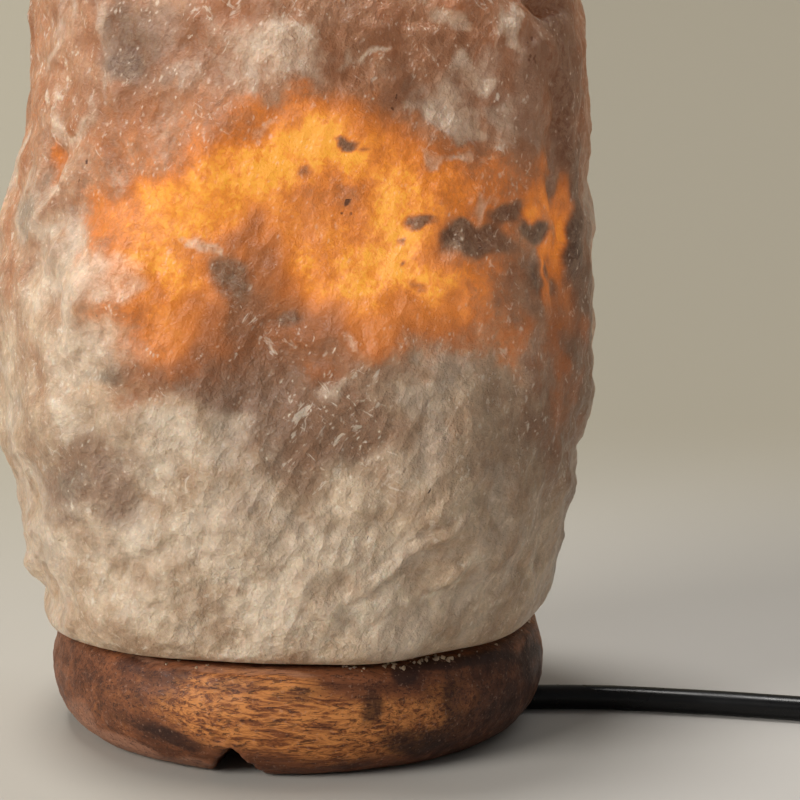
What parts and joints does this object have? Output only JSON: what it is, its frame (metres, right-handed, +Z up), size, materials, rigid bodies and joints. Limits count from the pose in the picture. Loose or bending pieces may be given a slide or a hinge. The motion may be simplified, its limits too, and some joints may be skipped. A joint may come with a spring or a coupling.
{
  "type": "salt crystal lamp",
  "caption": "Hewn rock-salt crystal on a turned wooden base, lit from inside by a candle bulb on a snap-in holder, with mains cord, in-line switch and plug.",
  "frame": {"origin": "centre of the wooden base's underside, on the surface it stands on", "axes": "+Z up; the cord leaves on the +X side; the notch seen in the picture faces -Y"},
  "size_m": [0.3224, 0.1755, 0.2161],
  "materials": {
    "salt": "rough, waxy, translucent",
    "sheesham": "satin",
    "glue": "matt",
    "holder_plastic": "satin",
    "steel": "satin",
    "spring_steel": "bright",
    "brass": "bright",
    "brown_core": "gloss",
    "blue_core": "gloss",
    "bulb_glass": "clear",
    "cap_metal": "bright",
    "black_glass": "gloss",
    "tungsten": "glowing",
    "cord_black": "gloss",
    "switch_plastic": "satin",
    "nickel": "bright"
  },
  "bodies": {
    "light_unit": {"holder_cap": "holder_plastic", "cap_screws": "steel", "cord_clamp": "holder_plastic", "clamp_screws": "steel", "holder_body": "holder_plastic", "thread_shell": "brass", "centre_contact": "brass", "live_terminal": "brass", "neutral_terminal": "brass", "terminal_screws": "steel", "live_core": "brown_core", "neutral_core": "blue_core", "spring_clip": "spring_steel", "cord_lamp_to_switch": "cord_black", "switch_bottom": "switch_plastic", "switch_top": "switch_plastic", "rocker_pin": "steel", "switch_screws": "steel", "switch_blades": "brass", "contact_bridge": "brass", "switch_cores": "blue_core", "cord_switch_to_coil": "cord_black", "cord_coil": "cord_black", "cord_coil_to_plug": "cord_black", "plug_body": "switch_plastic", "plug_pins": "nickel", "pin_sleeves": "switch_plastic"},
    "crystal": {"salt_crystal": "salt", "wooden_base": "sheesham", "glue_bed": "glue"},
    "bulb": {"bulb_glass": "bulb_glass", "bulb_cap": "cap_metal", "bulb_insulator": "black_glass", "bulb_contact": "steel", "bulb_stem": "bulb_glass", "bulb_leads": "steel", "filament": "tungsten"},
    "rocker": {"switch_rocker": "switch_plastic"}
  },
  "joints": [
    {"name": "lift_off", "type": "slide", "parent": "light_unit", "child": "crystal", "axis": [0, 0, 1], "range_m": [0, 0.15]},
    {"name": "bulb_unscrew", "type": "hinge", "parent": "light_unit", "child": "bulb", "pos_m": [0, 0, 0.045], "axis": [0, 0, 1], "range_deg": [0, 1440]},
    {"name": "rocker_tip", "type": "hinge", "parent": "light_unit", "child": "rocker", "pos_m": [0.1696, -0.0181, 0.012], "axis": [0.2419, 0.9703, 0], "range_deg": [-14, 0]}
  ]
}
